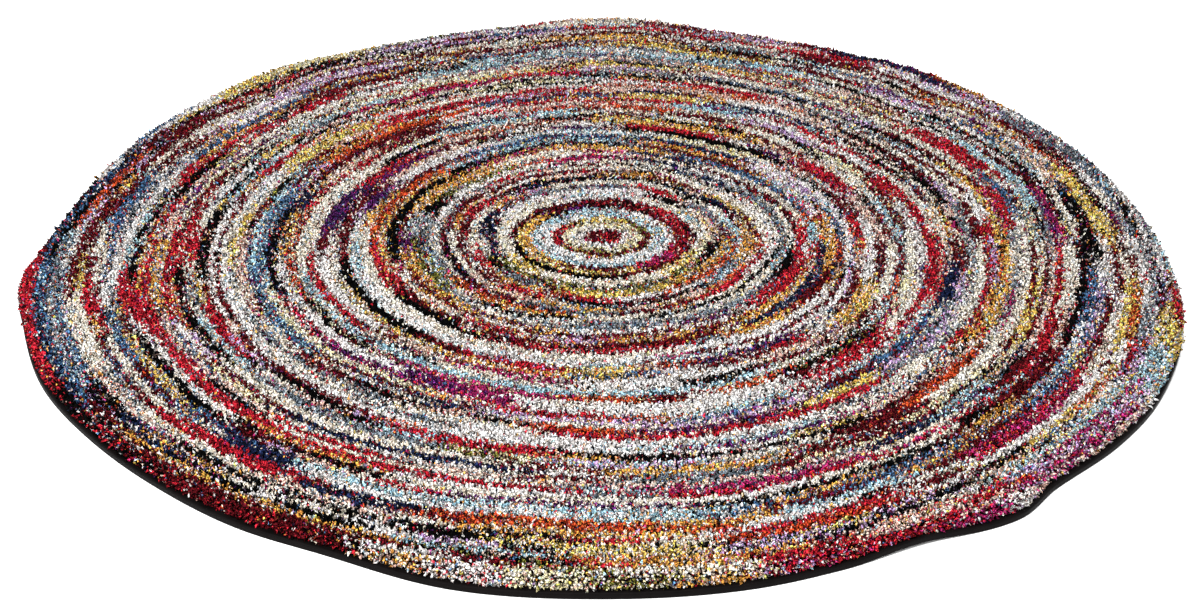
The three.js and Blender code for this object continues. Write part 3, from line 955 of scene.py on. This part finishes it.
def field_yarns():
    """Roots and reaches of the yarn ends that stand all over the ground, their tips drawn into clumps and
    spreading outwards near the rim."""
    lines_apart = math.sqrt(0.75)
    rows = int(2 * RUG_RADIUS / (YARN_SPACING * lines_apart)) + 8
    per_row = int(2 * RUG_RADIUS / YARN_SPACING) + 8
    row, column = np.meshgrid(np.arange(rows) - rows / 2, np.arange(per_row) - per_row / 2, indexing="ij")
    x = ((column + 0.5 * (np.arange(rows) % 2)[:, None]) * YARN_SPACING).ravel()
    y = (row * YARN_SPACING * lines_apart).ravel()
    x = x + chance.uniform(-YARN_JITTER, YARN_JITTER, x.size) * YARN_SPACING
    y = y + chance.uniform(-YARN_JITTER, YARN_JITTER, x.size) * YARN_SPACING
    angle = np.arctan2(y, x)
    inset = edge_radius(angle) - np.hypot(x, y)
    kept = inset > RIM_ROOT["inset"] * MM
    x, y, angle, inset = x[kept], y[kept], angle[kept], inset[kept]
    height = PILE_TOP - YARN_ROOT + lump_height(x, y) + chance.triangular(*TIP_SPREAD, x.size) * MM

    # Leaning as shares of the height: outwards near the rim, and together in clumps about 8 cm apart
    rim_width, rim_lean, rim_drop, clump_lean = 22 * MM, 0.35, 0.09, 0.2
    near_rim = smooth_rise(1 - (inset - RIM_ROOT["inset"] * MM) / rim_width)
    clump_x = np.sin(x / 0.0125 + 3 * np.sin(y / 0.017)) * clump_lean
    clump_y = np.sin(y / 0.0135 + 3 * np.sin(x / 0.015)) * clump_lean
    out_x = np.cos(angle) * near_rim * rim_lean + clump_x
    out_y = np.sin(angle) * near_rim * rim_lean + clump_y
    root = np.column_stack((x, y, np.full(x.size, YARN_ROOT)))
    height = height * (1 - rim_drop * near_rim)
    reach = np.column_stack((out_x, out_y, np.ones(x.size))) * height[:, None]
    return root, reach


def rim_yarns():
    """Roots and reaches of the yarn ends that fan out over the tape. A few hang out further, loose."""
    around = int(TAU * RUG_RADIUS / (YARN_SPACING * 0.95))
    at, combed = np.array(RIM_COMBED, float).T
    roots, reaches = [], []

    def stray(way):
        return chance.uniform(*RIM_STRAYS[way], around)

    for line, (tip_inset, tip_height) in enumerate(RIM_FAN):
        turn = TAU * (np.arange(around) + 0.5 * (line % 2) + chance.uniform(-0.35, 0.35, around)) / around
        edge = edge_radius(turn)
        foot = edge - (RIM_ROOT["inset"] + 2 + stray("foot")) * MM
        inset = tip_inset + np.interp(np.degrees(turn), at, combed) + stray("inset")
        loose = np.where(chance.random(around) < RIM_LOOSE["share"], RIM_LOOSE["further_out"], 0.0)
        tip = edge - (inset - loose) * MM
        foot_height = np.full(around, (RIM_ROOT["height"] + line * 0.8) * MM)
        tip_rise = (tip_height + stray("height")) * MM - foot_height
        side = stray("side") * MM
        heading = np.column_stack((np.cos(turn), np.sin(turn)))
        across = np.column_stack((-np.sin(turn), np.cos(turn)))
        roots.append(np.column_stack((heading * foot[:, None], foot_height)))
        reaches.append(np.column_stack((heading * (tip - foot)[:, None] + across * side[:, None], tip_rise)))
    return np.concatenate(roots), np.concatenate(reaches)


def yarn_points():
    """Root of every yarn end, its way from there to the tip, and how bare of shade its foot is."""
    root, reach = field_yarns()
    rim_root, rim_reach = rim_yarns()
    bare = np.repeat((0.0, RIM_BARE), (len(root), len(rim_root)))
    return np.concatenate((root, rim_root)), np.concatenate((reach, rim_reach)), bare


def yarn_dyes(x, y):
    """Two dyes for each yarn end, mostly of its row, and else of the ring's mix or a fleck."""
    mixes = Mixes()
    edges, row_yarn, row_mix, steady = pile_rows(mixes)
    count = x.size
    radius = ring_radius(x, y) + chance.normal(0, STRAY_ACROSS, count)
    row = np.minimum(np.searchsorted(edges, radius), len(edges) - 1)
    smallest_radius = 20
    shift = chance.normal(0, STRAY_ALONG, count) / np.maximum(radius, smallest_radius)
    steps = row_yarn.shape[1]
    place = ((np.arctan2(y, x) + shift) / TAU % 1 * steps).astype(int) % steps
    dyes = dye_lights()
    leader = row_yarn[row, place]
    is_pale = dyes[leader].mean(1) > PALE_FROM

    def any_of(names):
        return mixes.numbers(names)[chance.integers(0, len(names), count)]

    ends = []
    for fleck_share in FLECK_SHARES:
        alike = np.where(is_pale, any_of(PALE_YARNS), any_of(DEEP_YARNS))
        stray = np.where(chance.random(count) < LIKE_FLECKS, alike, any_of(FLECKS))
        mixed = mixes.pick(row_mix[row, place], chance.random(count))
        other = np.where(chance.random(count) < fleck_share, stray, mixed)
        yarn = np.where(chance.random(count) < steady[row, place], leader, other)
        brightness = np.exp(chance.normal(*TONE, count))
        ends.append(np.clip(dyes[yarn] * brightness[:, None], 0, LIGHTEST))
    return ends


def laid_flat(chosen, x, y):
    """The chosen yarn ends in order of their place, with a square cell in the flat layout for each, and
    how many cells lie side by side."""
    side = math.ceil(math.sqrt(chosen.size))
    order = chosen[np.argsort(y[chosen], kind="stable")]
    cells = np.zeros((order.size, 3))
    for start in range(0, order.size, side):
        line = order[start : start + side]
        line = line[np.argsort(x[line], kind="stable")]
        order[start : start + side] = line
        cells[start : start + side, 0] = np.arange(line.size) / side
        cells[start : start + side, 1] = start // side / side
    return order, cells, side


def yarn_pieces(material):
    """All the yarn ends, shared out at random over the pieces, so that each reaches over the whole rug."""
    root, reach, bare = yarn_points()
    count = len(root)
    tip = root + reach
    first, second = [np.column_stack((dye, np.ones(count))) for dye in yarn_dyes(tip[:, 0], tip[:, 1])]
    length = np.linalg.norm(reach, axis=1)
    lean = reach / length[:, None]
    x, y = root[:, 0].copy(), root[:, 1].copy()
    root += np.column_stack((np.full(count, SHIFT[0]), np.full(count, SHIFT[1]), wave_lift(x, y)))
    forms = bpy.data.collections.new("yarn_forms")
    for index, drops in enumerate(YARN_DROPS):
        name = f"yarn_form_{index}"
        add_object(name, yarn_form(name, drops), forms)
    tree = yarn_tree()
    lot = chance.permutation(count)
    pieces = []
    for number in range(YARN_PIECES):
        order, cells, side = laid_flat(np.sort(lot[number::YARN_PIECES]), x, y)
        mesh = bpy.data.meshes.new(f"shag_yarns_{number + 1}")
        mesh.from_pydata(root[order].tolist(), [], [])
        for name, kind, field, values in (
            ("yarn_dye", "FLOAT_COLOR", "color", first[order]),
            ("strand_dye", "FLOAT_COLOR", "color", second[order]),
            ("lean", "FLOAT_VECTOR", "vector", lean[order]),
            ("length", "FLOAT", "value", length[order]),
            ("bare", "FLOAT", "value", bare[order]),
            ("cell", "FLOAT_VECTOR", "vector", cells),
        ):
            held = mesh.attributes.new(name, kind, "POINT").data
            held.foreach_set(field, values.astype(np.float32).ravel())
        sizes = {
            "Yarn Forms": forms,
            "Yarn Width": YARN_WIDTH,
            "Width Spread": WIDTH_SPREAD,
            "Lean Spread": LEAN_SPREAD,
            "Cell Size": 1 / side,
            "Seed": SEED + 10 * number,
            "Material": material,
        }
        pieces.append(settle(add_object(mesh.name, mesh), tree, sizes))
    bpy.data.node_groups.remove(tree)
    for form in list(forms.objects):
        bpy.data.objects.remove(form)
    bpy.data.collections.remove(forms)
    return pieces


def lay_floor():
    half = 14.0
    mesh = bpy.data.meshes.new("studio_floor")
    corners = [(-half, -half, 0), (half, -half, 0), (half, half, 0), (-half, half, 0)]
    mesh.from_pydata(corners, [], [(0, 1, 2, 3)])
    floor = add_object("studio_floor", mesh)
    mesh.materials.append(floor_finish())


def light_studio():
    """A plain white surround and soft boxes in front and behind."""
    world = bpy.data.worlds.new("studio")
    world.use_nodes = True
    surround = world.node_tree.nodes["Background"].inputs
    surround["Color"].default_value = (1.0, 1.0, 1.0, 1)
    surround["Strength"].default_value = SURROUND
    bpy.context.scene.world = world
    for name, place, aim, size, watts in SOFTBOXES:
        light = bpy.data.lights.new(name, "AREA")
        light.shape = "RECTANGLE"
        light.size, light.size_y = size
        light.energy = watts
        lamp = add_object(name, light)
        lamp.location = place
        lamp.rotation_euler = (Vector(aim) - Vector(place)).to_track_quat("-Z", "Y").to_euler()


def place_camera():
    camera = bpy.data.cameras.new("photo_camera")
    camera.sensor_fit = "HORIZONTAL"
    camera.sensor_width = CAMERA_SENSOR
    camera.lens = CAMERA_LENS
    camera.clip_end = 60
    holder = add_object("photo_camera", camera)
    tilt = Matrix.Rotation(math.radians(90 - CAMERA_DOWN), 4, "X")
    roll = Matrix.Rotation(math.radians(CAMERA_ROLL), 4, "Z")
    holder.matrix_world = Matrix.Translation(CAMERA_PLACE) @ tilt @ roll
    bpy.context.scene.camera = holder


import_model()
SHIFT = frame_shift()

ground = ground_cloth()
base = pile_base()
tape = edge_tape()
for piece, finish in ((ground, ground_finish()), (base, base_finish()), (tape, tape_finish())):
    piece.data.materials.append(finish)
yarns = yarn_pieces(yarn_finish())

for piece in (ground, base, *yarns):
    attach(piece, "root")
    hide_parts("pile_field")
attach(tape, "root")
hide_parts("edge_binding")

lay_floor()
light_studio()
place_camera()
bpy.context.scene.view_settings.view_transform = "Standard"
